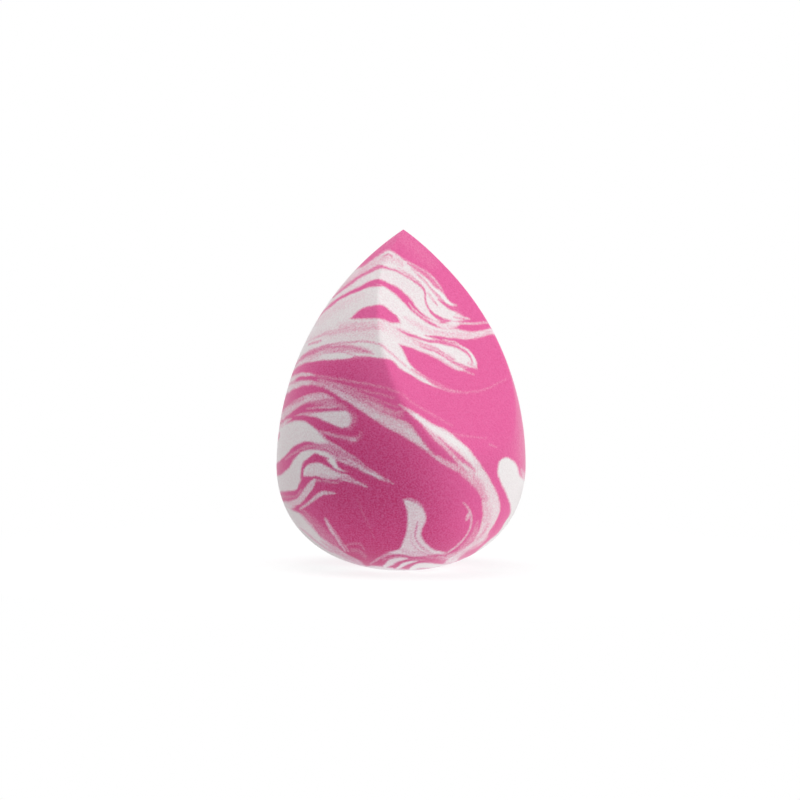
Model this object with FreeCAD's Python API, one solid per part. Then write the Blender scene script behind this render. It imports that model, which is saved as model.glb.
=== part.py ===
import FreeCAD, Part
import math
import os
from FreeCAD import Vector

# A makeup sponge: a teardrop of marbled foam that stands on its broad end, with one flat
# cut beside the tip. Pink foam holds white layers, and most run right through to the back.
# Millimetres, Z up. The origin is the middle of the flat underneath, and -Y is the front.

# Outside of the teardrop, before the cut
height = 60.0            # from the flat underneath to the tip
widest_radius = 21.9     # radius of the widest circle
widest_level = 18.0      # height of the widest circle above the flat
foot_radius = 4.7        # flat that the sponge stands on
foot_rise = 9.0          # degrees, slope of the underside where it leaves the flat
underside_reach = 13.7   # how far the underside keeps to that slope before it turns up
side_reach = 6.5         # how far the side stays upright below the widest circle

# Flat cut beside the tip
cut_turn = 39.0          # degrees that the cut faces to the right of straight ahead
cut_setback = 0.75       # distance by which the cut passes behind the tip
cut_end_rise = 3.4       # height of the cut's lower end above the widest circle
ridge_round_top = 0.4    # round on the edge of the cut, at its upper end
ridge_round_low = 6.0    # and at its lower end, where the edge fades into the side

# Layers of the marbling
layer_fall = 5.0         # degrees that they tip down towards the back
curve_tolerance = 0.1    # how closely arcs follow a layer's outline
inner_ends = {           # layers that stop inside, and how far behind the middle they end
    "pink_eye": 1.0,
    "white_left_eye": -5.0,
    "white_fold_core": -5.0,
    "white_column": -5.0,
}

up = Vector(0, 0, 1)
tip = Vector(0, 0, height)

# The side is one arc that leaves the widest circle upright and ends at the tip.
taper = height - widest_level
side_radius = (taper ** 2 + widest_radius ** 2) / (2 * widest_radius)

# Outlines of the layers, seen along the way that they run. Each is a chain of smooth curves, and
# a straight line closes the chain wherever one curve doesn't start where the last one ended.
# A point is (across, level): across is a share of the widest radius, and the level is 0 at the
# flat, 1 at the widest circle and 2 at the tip.
# Points past the outside of the sponge let a layer run out through its side.
outlines = {
    "white_crown_band": [
        [(-0.62, 1.81), (-0.35, 1.84), (-0.22, 1.88), (-0.09, 1.91), (0.08, 1.86),
         (0.24, 1.80), (0.39, 1.71), (0.56, 1.62)],
        [(0.56, 1.62), (0.38, 1.62), (0.23, 1.64), (0.10, 1.70), (0.0, 1.75), (-0.16, 1.79),
         (-0.32, 1.76), (-0.48, 1.71), (-0.76, 1.64)],
    ],
    "white_upper_fold": [
        [(-0.86, 1.59), (-0.56, 1.67), (-0.40, 1.72), (-0.16, 1.76), (0.0, 1.71), (0.14, 1.64),
         (0.32, 1.59), (0.52, 1.58), (0.66, 1.57)],
        [(0.66, 1.57), (0.52, 1.55), (0.36, 1.55), (0.20, 1.55)],
        [(0.20, 1.55), (0.36, 1.52), (0.50, 1.50), (0.575, 1.47), (0.62, 1.42)],
        [(0.62, 1.42), (0.52, 1.41), (0.40, 1.43), (0.24, 1.47), (0.12, 1.49), (-0.01, 1.51)],
        [(-0.01, 1.51), (0.04, 1.48), (0.10, 1.43), (0.24, 1.37), (0.40, 1.33)],
        [(0.40, 1.33), (0.24, 1.35), (0.08, 1.39), (-0.11, 1.46), (-0.40, 1.45), (-0.64, 1.45),
         (-0.80, 1.42), (-1.0, 1.34)],
    ],
    "pink_eye": [
        [(-0.395, 1.62), (-0.30, 1.66), (-0.16, 1.68), (-0.06, 1.65), (0.01, 1.61)],
        [(0.01, 1.61), (-0.08, 1.61), (-0.18, 1.62), (-0.28, 1.62), (-0.395, 1.62)],
    ],
    "white_left_sweep": [
        [(-1.10, 1.27), (-0.89, 1.33), (-0.765, 1.36), (-0.63, 1.35), (-0.44, 1.31), (-0.24, 1.26),
         (-0.04, 1.21), (0.09, 1.18), (0.16, 1.14), (0.26, 1.08), (0.40, 1.02), (0.55, 0.89)],
        [(0.55, 0.89), (0.36, 1.01), (0.20, 1.07), (0.04, 1.12), (-0.12, 1.18), (-0.32, 1.24),
         (-0.48, 1.29), (-0.60, 1.32), (-0.725, 1.34), (-0.82, 1.33), (-0.92, 1.30), (-1.10, 1.21)],
    ],
    "white_right_sweep": [
        [(0.0, 1.26), (0.12, 1.24), (0.24, 1.20), (0.39, 1.16), (0.48, 1.12), (0.60, 1.05),
         (0.71, 0.90), (0.78, 0.73), (0.795, 0.59), (0.75, 0.44), (0.66, 0.26), (0.50, 0.07), (0.42, -0.13)],
        [(0.34, -0.13), (0.42, 0.11), (0.56, 0.27), (0.636, 0.39), (0.66, 0.59), (0.652, 0.71), (0.62, 0.84),
         (0.60, 0.98), (0.48, 1.07), (0.36, 1.13), (0.24, 1.17), (0.12, 1.21), (0.0, 1.26)],
    ],
    "white_curl_band": [
        [(-1.10, 1.19), (-0.93, 1.24), (-0.80, 1.28), (-0.64, 1.30), (-0.51, 1.27)],
        [(-0.51, 1.27), (-0.66, 1.27), (-0.78, 1.24), (-0.90, 1.20), (-1.10, 1.14)],
    ],
    "white_left_eye": [
        [(-0.69, 1.23), (-0.56, 1.24), (-0.44, 1.25), (-0.38, 1.22), (-0.40, 1.18), (-0.475, 1.16)],
        [(-0.475, 1.16), (-0.58, 1.19), (-0.69, 1.23)],
    ],
    "white_left_fold": [
        [(-1.10, 1.11), (-0.96, 1.17), (-0.87, 1.19), (-0.78, 1.20), (-0.68, 1.17), (-0.58, 1.12),
         (-0.44, 1.07), (-0.28, 1.01), (-0.06, 0.87)],
        [(-0.06, 0.87), (-0.24, 0.94), (-0.40, 1.02), (-0.52, 1.07), (-0.64, 1.10), (-0.765, 1.11),
         (-0.86, 1.07), (-0.95, 1.02), (-1.10, 0.97)],
    ],
    "white_lower_fold": [
        [(-1.12, 0.83), (-0.96, 0.92), (-0.885, 1.01), (-0.82, 1.05), (-0.725, 1.07), (-0.61, 1.07),
         (-0.50, 1.04), (-0.40, 0.97)],
        [(-0.40, 0.97), (-0.52, 1.00), (-0.59, 1.03), (-0.69, 1.06), (-0.775, 1.02), (-0.80, 0.93),
         (-0.81, 0.80), (-0.89, 0.75), (-1.12, 0.68)],
    ],
    "white_fold_core": [
        [(-0.78, 0.94), (-0.75, 1.00), (-0.685, 1.02), (-0.59, 1.00), (-0.44, 0.92), (-0.26, 0.82)],
        [(-0.26, 0.82), (-0.44, 0.87), (-0.60, 0.91), (-0.78, 0.94)],
    ],
    "white_base_left": [
        [(-1.12, 0.60), (-0.93, 0.65), (-0.84, 0.61), (-0.765, 0.51), (-0.64, 0.36), (-0.48, 0.19),
         (-0.36, 0.06), (-0.33, -0.17)],
        [(-0.33, -0.17), (-1.12, -0.17)],
    ],
    "white_column": [
        [(0.03, 0.69), (0.09, 0.71), (0.16, 0.65), (0.21, 0.55), (0.17, 0.39), (0.225, 0.24),
         (0.32, 0.17)],
        [(0.32, 0.17), (0.12, 0.18), (-0.06, 0.17)],
        [(-0.06, 0.17), (0.024, 0.26), (0.055, 0.44), (0.048, 0.61), (0.03, 0.69)],
    ],
    "white_side_drop": [
        [(0.78, 1.01), (0.80, 1.05), (0.85, 1.05), (0.926, 1.02), (0.974, 0.93), (1.12, 0.73)],
        [(1.0, 0.23), (0.878, 0.55), (0.886, 0.66), (0.83, 0.80), (0.78, 1.01)],
    ],
}


# Teardrop: the profile from the middle of the flat to the tip, turned about Z.
# The profile starts in the direction that the cut faces, so that the cut's edge meets the
# seam of the surface at its lowest and its highest point only.
def teardrop():
    foot = Vector(foot_radius, 0, 0)
    widest = Vector(widest_radius, 0, widest_level)
    rise = math.radians(foot_rise)
    underside = Part.BezierCurve()
    underside.setPoles([
        foot,
        foot + Vector(math.cos(rise), 0, math.sin(rise)) * underside_reach,
        widest - up * side_reach,
        widest,
    ])
    side_centre = widest - Vector(side_radius, 0, 0)
    half_way = math.asin(taper / side_radius) / 2
    side_middle = side_centre + Vector(math.cos(half_way), 0, math.sin(half_way)) * side_radius
    profile = Part.Wire([
        Part.makeLine(Vector(), foot),
        underside.toShape(),
        Part.Arc(widest, side_middle, tip).toShape(),
        Part.makeLine(tip, Vector()),
    ])
    section = Part.Face(profile)
    section.rotate(Vector(), up, cut_turn - 90)
    halves = []
    for start in (0, 180):
        half = section.copy()
        half.rotate(Vector(), up, start)
        halves.append(half.revolve(Vector(), up, 180))
    return halves[0].fuse(halves[1])


# The flat cut, as the way that it faces and one point on it. It leans back from upright so
# that it runs from just behind the tip down to its lower end on the side.
turn = math.radians(cut_turn)
end_radius = widest_radius - side_radius + math.sqrt(side_radius ** 2 - cut_end_rise ** 2)
end_drop = taper - cut_end_rise
lean = math.atan2(end_radius, end_drop) + math.asin(cut_setback / math.hypot(end_radius, end_drop))
cut_normal = Vector(math.sin(turn) * math.cos(lean), -math.cos(turn) * math.cos(lean), math.sin(lean))
cut_point = tip - cut_normal * cut_setback


def on_cut(edge):
    first, last = edge.ParameterRange
    samples = [edge.valueAt(first + (last - first) * share) for share in (0.2, 0.5, 0.8)]
    return all(abs((sample - cut_point).dot(cut_normal)) < 1e-4 for sample in samples)


# Cuts the flat, then rounds its edge. The round grows steadily from the top of the cut down.
def cut_and_round(solid):
    reach = 2 * (height + widest_radius)
    waste = Part.makeBox(reach, reach, reach, Vector(-reach / 2, -reach / 2, 0))
    waste.Placement = FreeCAD.Placement(cut_point, FreeCAD.Rotation(up, cut_normal))
    document = FreeCAD.newDocument("sponge")
    blank = document.addObject("Part::Feature", "blank")
    blank.Shape = solid.cut(waste)
    ridge = [(number, edge) for number, edge in enumerate(blank.Shape.Edges, 1) if on_cut(edge)]
    levels = [vertex.Z for number, edge in ridge for vertex in edge.Vertexes]
    top, low = max(levels), min(levels)

    def round_at(vertex):
        return ridge_round_top + (ridge_round_low - ridge_round_top) * (top - vertex.Z) / (top - low)

    rounded = document.addObject("Part::Fillet", "rounded")
    rounded.Base = blank
    rounded.Edges = [(number, round_at(edge.Vertexes[0]), round_at(edge.Vertexes[-1]))
                     for number, edge in ridge]
    document.recompute()
    return rounded.Shape.Solids[0]


def at(point):
    across, level = point
    rise = widest_level * level if level < 1 else widest_level + taper * (level - 1)
    return Vector(across * widest_radius, 0, rise)


# A smooth curve through points, as tangent arcs.
def smooth_curve(points):
    if len(points) == 2:
        return [Part.makeLine(at(points[0]), at(points[1]))]
    spline = Part.BSplineCurve()
    spline.interpolate([at(point) for point in points])
    return [arc.toShape() for arc in spline.toBiArcs(curve_tolerance)]


# A layer's blank: its outline, drawn on the middle plane, pushed out past the front of the
# sponge and back to the layer's inner end, or past the back where it has none.
def layer_blank(name):
    curves = outlines[name]
    edges = []
    for curve, following in zip(curves, curves[1:] + curves[:1]):
        edges += smooth_curve(curve)
        if curve[-1] != following[0]:
            edges.append(Part.makeLine(at(curve[-1]), at(following[0])))
    reach = 2 * widest_radius
    face = Part.Face(Part.Wire(edges))
    face.translate(Vector(0, -reach, 0))
    blank = face.extrude(Vector(0, reach + inner_ends.get(name, reach), 0))
    blank.rotate(Vector(), Vector(1, 0, 0), -layer_fall)
    return blank


# Turned and rounded faces as spline faces, which take far fewer facets. Flat ones stay planes.
def with_spline_faces(solid):
    faces = []
    for face in solid.Faces:
        flat = isinstance(face.Surface, Part.Plane)
        faces += [face] if flat else face.toNurbs().Faces
    shell = Part.makeShell(faces)
    shell.sewShape()
    return Part.makeSolid(shell)


sponge = with_spline_faces(cut_and_round(teardrop()))
blanks = {name: layer_blank(name) for name in outlines}

# The pink eye lies inside the upper fold, and the pink foam is what the layers leave.
layers = {name: sponge.common(blank) for name, blank in blanks.items()}
layers["white_upper_fold"] = layers["white_upper_fold"].cut(blanks["pink_eye"])
pieces = {"pink_foam": sponge.cut(list(blanks.values()))}
pieces.update(layers)

os.makedirs("parts", exist_ok=True)
for name, piece in pieces.items():
    piece.exportStep("parts/" + name + ".step")
    print(name, len(piece.Solids), "solid", round(piece.Volume), "mm3")
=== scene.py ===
import math

import bmesh
import bpy
import numpy as np
from mathutils import Matrix, Vector, geometry, noise


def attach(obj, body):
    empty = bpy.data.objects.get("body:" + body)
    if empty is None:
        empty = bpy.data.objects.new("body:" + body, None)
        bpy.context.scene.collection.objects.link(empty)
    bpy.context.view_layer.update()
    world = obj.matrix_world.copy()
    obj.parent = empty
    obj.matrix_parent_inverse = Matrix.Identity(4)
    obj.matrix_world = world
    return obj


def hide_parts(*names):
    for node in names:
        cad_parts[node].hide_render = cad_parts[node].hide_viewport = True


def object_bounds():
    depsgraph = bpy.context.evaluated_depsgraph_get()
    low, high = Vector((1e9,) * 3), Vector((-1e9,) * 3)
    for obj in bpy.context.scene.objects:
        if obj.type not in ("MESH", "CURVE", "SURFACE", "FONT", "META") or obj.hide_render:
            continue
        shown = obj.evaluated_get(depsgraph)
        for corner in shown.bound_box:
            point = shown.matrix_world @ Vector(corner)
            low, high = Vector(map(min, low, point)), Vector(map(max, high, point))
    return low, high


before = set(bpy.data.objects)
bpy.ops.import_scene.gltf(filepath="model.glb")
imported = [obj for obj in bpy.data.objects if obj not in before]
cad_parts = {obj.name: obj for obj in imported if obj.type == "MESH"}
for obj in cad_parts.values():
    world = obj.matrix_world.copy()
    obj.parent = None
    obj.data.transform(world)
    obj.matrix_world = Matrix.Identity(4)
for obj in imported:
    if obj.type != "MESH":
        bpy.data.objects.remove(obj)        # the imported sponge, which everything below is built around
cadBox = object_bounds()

mm = 0.001

# How the photo sees the sponge: what a pixel measures there, and where the foot stands.
# Columns and rows below are pixels of the 800 x 800 photo.
photo = dict(
    frame=800,
    pixel=0.1757 * mm,
    column=400,                      # column of the sponge's axis, at the foot
    row=568,                         # row of the foot's middle
    lean=0.0103,                     # how far right the sponge leans for each row up
    elevation=math.radians(5.0),
    distance=2.0,
)
sight = Vector((0, math.cos(photo["elevation"]), -math.sin(photo["elevation"])))


def photoPlaces(points):             # columns and rows of points in the sponge's frame
    rows = (points[:, 2] * sight.y - points[:, 1] * sight.z) / photo["pixel"]
    columns = photo["column"] + points[:, 0] / photo["pixel"] + photo["lean"] * rows
    return np.stack([columns, photo["row"] - rows], axis=1)


def inPhotoPlane(column, row):       # and back, onto the upright plane through the axis
    rows = photo["row"] - row
    across = (column - photo["column"] - photo["lean"] * rows) * photo["pixel"]
    return Vector((across, 0, rows * photo["pixel"] / sight.y))


def smoothLine(points, parts=6):     # a smooth line through given points, any number of columns
    points = np.array(points, float)
    if len(points) < 3:
        return points
    ends = [2 * points[0] - points[1], 2 * points[-1] - points[-2]]
    run = np.vstack([ends[0], points, ends[1]])
    a, b, c, d = (run[i:len(run) - 3 + i, None] for i in range(4))
    t = (np.arange(parts) / parts)[None, :, None]
    line = b + 0.5 * t * (c - a + t * (2 * a - 5 * b + 4 * c - d + t * (3 * (b - c) + d - a)))
    return np.vstack([line.reshape(-1, points.shape[1]), points[-1:]])


# Outside of the sponge: a teardrop on a small flat foot, with one flat cut beside the tip
sponge = dict(
    height=59.7 * mm,
    widestRadius=(cadBox[1].x - cadBox[0].x) / 2,
    widestLevel=18 * mm,
    footRadius=4.7 * mm,
    footRise=math.radians(9),        # how steeply the underside leaves the foot
    undersideReach=13.7 * mm,        # how far it keeps to that direction
    sideReach=6.5 * mm,              # and how far below the widest level it is upright
    cutTurn=math.radians(39),        # the cut faces this far to the right of straight ahead
    cutLean=math.radians(30.4),
    cutSetback=0.75 * mm,            # how far the cut lies inside the tip, lower down
    cutRunIn=7 * mm,                 # and over what height below the tip it gets there
    cutTop=59.4 * mm,
    cutEnd=21.4 * mm,
    ridgeTop=0.15 * mm,              # softness of the cut's edge at the tip
    ridgeEnd=0.9 * mm,               # and at its lower end
    core=25 * mm,                    # height of the point that the cut is pressed in towards
    leastFacing=0.02,                # what lies less towards the cut than this stays as it is
    footRings=8,
    undersideRings=90,
    sideRings=230,
    frontSteps=300,
    backSteps=130,
    seamGap=0.001 * mm,              # points closer than this become one
    sharpAngle=math.radians(45),
)


def profilePoints():                 # radius and height, from the middle of the foot to the tip
    s = sponge
    foot = Vector((s["footRadius"], 0, 0))
    widest = Vector((s["widestRadius"], 0, s["widestLevel"]))
    rise = Vector((math.cos(s["footRise"]), 0, math.sin(s["footRise"])))
    underside = geometry.interpolate_bezier(
        foot, foot + rise * s["undersideReach"], widest - Vector((0, 0, s["sideReach"])), widest,
        s["undersideRings"])
    taper = s["height"] - s["widestLevel"]
    radius = (taper ** 2 + widest.x ** 2) / (2 * widest.x)
    turn = math.asin(taper / radius)
    points = [(s["footRadius"] * i / s["footRings"], 0) for i in range(s["footRings"])]
    points += [(p.x, p.z) for p in underside]
    for i in range(1, s["sideRings"] + 1):
        angle = turn * i / s["sideRings"]
        points.append((widest.x - radius + radius * math.cos(angle), widest.z + radius * math.sin(angle)))
    points[-1] = (0, s["height"])
    return points


def pressCut(mesh):                  # presses the flat cut in, with a soft ridge round it
    s = sponge
    co = np.empty(len(mesh.vertices) * 3)
    mesh.vertices.foreach_get("co", co)
    co = co.reshape(-1, 3)
    normal = np.array([math.sin(s["cutTurn"]) * math.cos(s["cutLean"]),
                       -math.cos(s["cutTurn"]) * math.cos(s["cutLean"]), math.sin(s["cutLean"])])
    core = np.array([0, 0, s["core"]])
    runIn = np.clip((s["height"] - co[:, 2]) / s["cutRunIn"], 0, 1)
    setback = s["cutSetback"] * runIn * runIn * (3 - 2 * runIn)
    cutReach = (np.array([0, 0, s["height"]]) - core) @ normal - setback
    ray = co - core
    length = np.linalg.norm(ray, axis=1)
    flat = length * cutReach / np.maximum(ray @ normal, s["leastFacing"] * length)
    down = np.clip((s["cutTop"] - co[:, 2]) / (s["cutTop"] - s["cutEnd"]), 0, 1)
    soft = s["ridgeTop"] + (s["ridgeEnd"] - s["ridgeTop"]) * down
    near = np.maximum(soft - abs(length - flat), 0) / soft
    pressed = np.minimum(length, flat) - near ** 2 * soft / 4          # rounds where the two meet
    co = core + ray * (pressed / length)[:, None]
    mesh.vertices.foreach_set("co", co.ravel())
    mesh.update()


def spongeBlank():                   # a grid rolled round the axis, finer at the front
    profile = profilePoints()
    front, back = sponge["frontSteps"], sponge["backSteps"]
    turns = [math.pi * i / front for i in range(front)]
    turns += [math.pi + math.pi * i / back for i in range(back + 1)]
    bm = bmesh.new()
    bmesh.ops.create_grid(bm, x_segments=len(turns) - 1, y_segments=len(profile) - 1, size=1)
    for i, vert in enumerate(bm.verts):
        radius, height = profile[i // len(turns)]
        turn = turns[i % len(turns)]
        vert.co = (-radius * math.cos(turn), -radius * math.sin(turn), height)
    bmesh.ops.remove_doubles(bm, verts=bm.verts, dist=sponge["seamGap"])    # closes the seam and both ends
    bmesh.ops.recalc_face_normals(bm, faces=bm.faces)
    mesh = bpy.data.meshes.new("spongeBlank")
    bm.to_mesh(mesh)
    bm.free()
    pressCut(mesh)
    return mesh


# Bodies of white foam, and one of pink inside the upper fold; white is how much white each shows.
# An outline is a chain of smooth curves of (column, row) points, and points past the sponge's edge
# let a body run out there. A body runs along the line of sight, right through the sponge or to a
# stop, which is counted from the upright plane through the axis.
layers = {
    "white_crown_band": dict(white=0.9, curves=[
        [(330, 279), (357, 269), (370, 262), (380, 255), (389.5, 250), (400, 257), (420, 268), (430, 274),
         (438, 283), (447, 298), (456, 306), (470, 319)],
        [(470, 319), (450, 321), (432, 319.5), (419, 311), (411, 300), (400, 290), (390, 284), (380, 280),
         (370, 282), (360, 287), (350, 292), (340, 298), (330, 305), (310, 324)],
    ]),
    "white_upper_fold": dict(white=0.92, curves=[
        [(310, 329), (323, 314), (340, 301), (350, 295), (360, 291), (370, 287), (381, 285.5), (390, 291),
         (402, 301), (415, 314), (427, 323), (440, 328), (457, 329), (472, 331.5), (488, 328), (505, 321)],
        [(505, 329), (491, 333), (470, 338.5), (444, 336.5), (424, 335)],
        [(424, 335), (440, 340.5), (458, 345), (470, 352), (476, 361), (477.5, 368)],
        [(477.5, 368), (470, 367.5), (458, 370), (445, 363), (425, 353), (404, 346), (398.5, 344.5)],
        [(398.5, 344.5), (403, 351), (409, 363), (420, 373), (432, 380), (450, 388), (462, 391)],
        [(462, 391), (450, 390.5), (430, 385), (415, 377.5), (400, 368.5), (387, 359), (350, 360),
         (320, 361.5), (303, 365), (293, 372), (270, 390)],
    ]),
    "pink_eye": dict(white=0.0, stop=1 * mm, curves=[
        [(350, 319.5), (360, 311), (370, 307), (381, 305), (390, 311), (397, 317), (400.5, 324)],
        [(400.5, 324), (390, 323), (380, 319.5), (365, 319.8), (350, 319.5)],
    ]),
    "white_left_sweep": dict(white=0.55, curves=[
        [(270, 408), (290, 388), (305, 381), (318, 383), (335, 389), (360, 401), (380, 411.5), (400, 419),
         (412, 426), (420, 438), (431, 451), (442, 460), (456, 470)],
        [(456, 470), (442, 462), (428, 452), (415, 443), (400, 434), (380, 423.5), (360, 410), (340, 397),
         (322, 388), (310, 386), (298, 388.5), (286, 396), (270, 418)],
    ]),
    "white_right_sweep": dict(white=0.8, curves=[
        [(399, 404.5), (413, 411), (432, 423), (448, 430.5), (462, 442), (475, 456), (486, 473), (496, 491),
         (499.5, 505), (497, 517), (491, 530), (484, 541), (470, 551), (455, 561), (440, 580)],
        [(428, 580), (447, 559), (462, 549.5), (474, 539), (480, 527), (482.5, 510), (481, 497), (475, 486),
         (468, 476), (462, 464), (452, 452), (440, 438.5), (420, 422), (408, 412.5), (399, 404.5)],
    ]),
    "white_curl_band": dict(white=0.5, curves=[
        [(268, 428), (282, 413), (293, 403), (307, 396), (322, 394), (335, 399)],
        [(335, 399), (325, 400), (310, 402.5), (295, 410.5), (283, 420), (268, 436)],
    ]),
    "white_left_eye": dict(white=0.85, stop=-5 * mm, curves=[
        [(296, 416.5), (308, 413), (325, 412.5), (346, 411), (352.5, 418), (350, 426), (344, 428.5)],
        [(344, 428.5), (335, 426), (322, 420), (308, 416.5), (296, 416.5)],
    ]),
    "white_left_fold": dict(white=0.92, curves=[
        [(262, 446), (279, 431), (288, 424.5), (301, 421.5), (313, 427), (321, 434), (331, 442), (350, 454),
         (370, 468.5), (393, 483)],
        [(393, 483), (372, 474), (350, 461), (330, 451), (318, 444.5), (308, 442), (296, 446), (286, 456),
         (277, 464), (262, 474)],
    ]),
    "white_lower_fold": dict(white=0.92, curves=[
        [(262, 482), (279, 477), (289, 469), (296, 458), (306, 451), (320, 450.5), (332, 456), (340, 466),
         (352, 472)],
        [(352, 472), (338, 470), (328, 460), (317, 453.5), (310, 458), (303.5, 467), (301.5, 480),
         (296, 490.5), (281, 493), (262, 500)],
    ]),
    "white_fold_core": dict(white=0.8, stop=-5 * mm, curves=[
        [(304, 476), (308, 466), (318, 463), (331, 467), (345, 474), (368, 487)],
        [(368, 487), (350, 481.5), (338, 478.5), (320, 475.5), (312, 476.5), (304, 476)],
    ]),
    "white_base_left": dict(white=0.93, curves=[
        [(262, 508), (285, 508), (294, 511), (303, 516), (312, 526), (323, 538), (345, 553), (362, 563),
         (370, 575), (370, 590)],
        [(370, 590), (262, 590)],
    ]),
    "white_column": dict(white=0.82, stop=-5 * mm, curves=[
        [(403.5, 498), (410, 497.5), (419, 502), (426, 516), (421, 530), (424, 541), (433, 548),
         (447, 552)],
        [(447, 552), (415, 555), (390, 553)],
        [(390, 553), (400, 547), (405, 535), (407.5, 522), (407, 510), (403.5, 498)],
    ]),
    "white_side_drop": dict(white=0.98, curves=[
        [(497, 470), (498.5, 461), (504, 456), (511, 458), (517, 465), (521, 476), (540, 490)],
        [(540, 490), (540, 565)],
        [(470, 565), (476, 551), (488, 541), (499, 531), (507, 519), (510.5, 505), (505, 490), (499, 478),
         (497, 470)],
    ]),
}


def layerOutline(name):              # the closed outline, in photo pixels
    outline = np.vstack([smoothLine(curve) for curve in layers[name]["curves"]])
    fresh = np.any(outline != np.roll(outline, 1, axis=0), axis=1)     # curves share their end points
    return outline[fresh]


def layerBlank(names):               # the outlines pushed through the sponge, as closed solids
    reach = 2 * sponge["widestRadius"]                   # past the sponge, in front and behind
    bm = bmesh.new()
    for name in names:
        outline = [inPhotoPlane(*spot) - sight * reach for spot in layerOutline(name)]
        face = bm.faces.new([bm.verts.new(spot) for spot in outline])
        pushed = bmesh.ops.extrude_face_region(bm, geom=[face], use_keep_orig=True)
        moved = [item for item in pushed["geom"] if isinstance(item, bmesh.types.BMVert)]
        bmesh.ops.translate(bm, verts=moved, vec=sight * (reach + layers[name].get("stop", reach)))
    bmesh.ops.recalc_face_normals(bm, faces=bm.faces)
    mesh = bpy.data.meshes.new("layerBlank")
    bm.to_mesh(mesh)
    bm.free()
    return mesh


def carve(name, mesh, steps):        # the sponge's mesh, kept inside or outside each blank
    piece = bpy.data.objects.new(name, mesh)
    bpy.context.scene.collection.objects.link(piece)
    tools = []
    for operation, blank in steps:
        tool = bpy.data.objects.new("tool", blank)
        bpy.context.scene.collection.objects.link(tool)
        modifier = piece.modifiers.new(operation, "BOOLEAN")
        modifier.operation = operation
        modifier.solver = "MANIFOLD"
        modifier.object = tool
        tools.append(tool)
    bpy.context.view_layer.update()
    carved = bpy.data.meshes.new_from_object(piece.evaluated_get(bpy.context.evaluated_depsgraph_get()))
    piece.modifiers.clear()
    piece.data = carved
    for tool in tools:
        bpy.data.objects.remove(tool)
    return piece


def makePieces():
    blank = spongeBlank()
    print("sponge blank", len(blank.vertices), "vertices")
    cutOut = [name for name in layers if name != "pink_eye"]           # the eye lies inside a white body
    pieces = {"pink_foam": carve("soft_pink_foam", blank, [("DIFFERENCE", layerBlank(cutOut))])}
    for name in layers:
        steps = [("INTERSECT", layerBlank([name]))]
        if name == "white_upper_fold":
            steps.append(("DIFFERENCE", layerBlank(["pink_eye"])))
        pieces[name] = carve("soft_" + name, blank, steps)
    for piece in pieces.values():
        piece.data.name = piece.name
        piece.data.shade_smooth()
        piece.data.set_sharp_from_angle(angle=sponge["sharpAngle"])
        print(piece.name, len(piece.data.polygons), "faces")
    return pieces


pieces = makePieces()

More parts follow.
